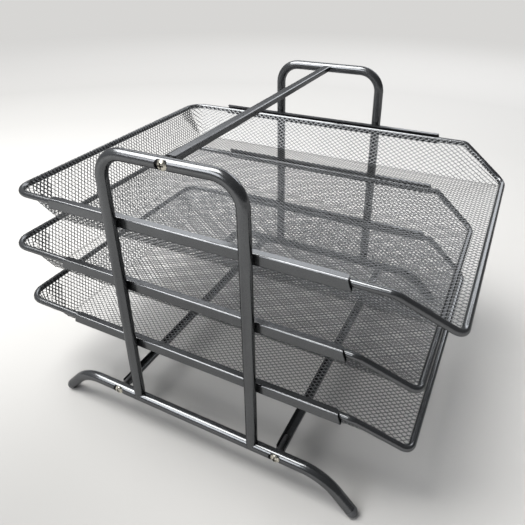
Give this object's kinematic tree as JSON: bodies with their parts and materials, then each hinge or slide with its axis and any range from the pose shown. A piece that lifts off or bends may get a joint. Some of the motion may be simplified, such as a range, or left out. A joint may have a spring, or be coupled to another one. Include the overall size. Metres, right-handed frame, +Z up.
{
  "type": "letter tray stack",
  "caption": "Letter tray stack: a tubular steel stand on foot rails, with pull-out wire-rimmed mesh trays that slide in side runners.",
  "frame": {"origin": "on the floor, under the middle of the stand", "axes": "+X to the right of a person at the front, +Y to the back along the trays' travel, +Z up"},
  "size_m": [0.2898, 0.3713, 0.2575],
  "materials": {
    "frame_paint": "satin metallic gunmetal paint on steel",
    "mesh_paint": "satin dark grey paint on expanded steel mesh",
    "screw_zinc": "bright zinc plate",
    "nut_steel": "painted over with the crossbar",
    "cap_plastic": "moulded grey plastic"
  },
  "bodies": {
    "stand": {"left_foot_rail": "frame_paint", "right_foot_rail": "frame_paint", "left_front_foot_cap": "cap_plastic", "left_rear_foot_cap": "cap_plastic", "right_front_foot_cap": "cap_plastic", "right_rear_foot_cap": "cap_plastic", "left_arch_tube": "frame_paint", "right_arch_tube": "frame_paint", "left_top_runner": "frame_paint", "left_middle_runner": "frame_paint", "left_bottom_runner": "frame_paint", "right_top_runner": "frame_paint", "right_middle_runner": "frame_paint", "right_bottom_runner": "frame_paint", "top_crossbar": "frame_paint", "front_crossbar": "frame_paint", "rear_crossbar": "frame_paint", "left_top_bar_nut": "nut_steel", "left_front_bar_nut": "nut_steel", "left_rear_bar_nut": "nut_steel", "right_top_bar_nut": "nut_steel", "right_front_bar_nut": "nut_steel", "right_rear_bar_nut": "nut_steel", "pan_head_screws": "screw_zinc"},
    "top_tray": {"top_rim": "frame_paint", "top_mesh_floor": "mesh_paint", "top_mesh_walls": "mesh_paint"},
    "middle_tray": {"middle_rim": "frame_paint", "middle_mesh_floor": "mesh_paint", "middle_mesh_walls": "mesh_paint"},
    "bottom_tray": {"bottom_rim": "frame_paint", "bottom_mesh_floor": "mesh_paint", "bottom_mesh_walls": "mesh_paint"}
  },
  "joints": [
    {"name": "top_tray_slide", "type": "slide", "parent": "stand", "child": "top_tray", "axis": [0, -1, 0], "range_m": [-0.0235, 0.1987]},
    {"name": "middle_tray_slide", "type": "slide", "parent": "stand", "child": "middle_tray", "axis": [0, -1, 0], "range_m": [-0.005, 0.2172]},
    {"name": "bottom_tray_slide", "type": "slide", "parent": "stand", "child": "bottom_tray", "axis": [0, -1, 0], "range_m": [-0.0058, 0.2164]}
  ]
}
